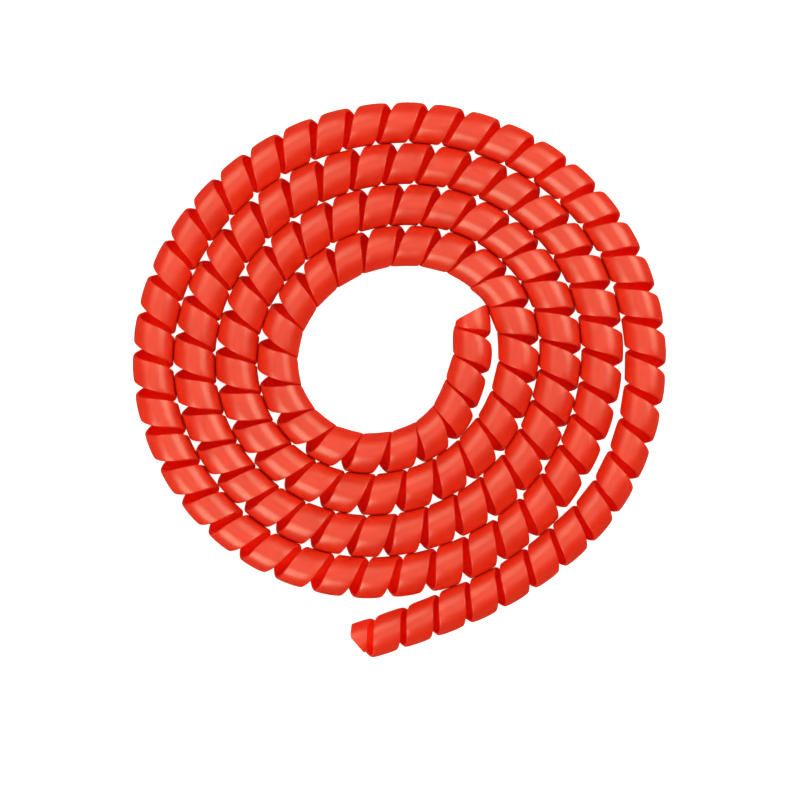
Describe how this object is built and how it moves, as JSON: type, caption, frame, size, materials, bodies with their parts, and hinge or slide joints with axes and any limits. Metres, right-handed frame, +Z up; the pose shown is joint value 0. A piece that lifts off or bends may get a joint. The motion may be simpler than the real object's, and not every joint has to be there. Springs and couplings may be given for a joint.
{
  "type": "spiral hose wrap",
  "caption": "Spiral wrap of one flat plastic strip wound into an open left-handed tube, coiled flat; it winds on over an air hose or leads to guard them.",
  "frame": {"origin": "on the floor under the middle of the coil's outline", "axes": "+Z up out of the coil; seen from above the tube runs clockwise outward and its free tail ends at the lower left, towards -Y"},
  "size_m": [0.2286, 0.238, 0.0168],
  "materials": {
    "strip": "extruded polyethylene, orange-red all through, satin to semi-gloss with faint draw lines along the strip"
  },
  "bodies": {
    "root": {"spiral_wrap": "strip"}
  },
  "joints": []
}
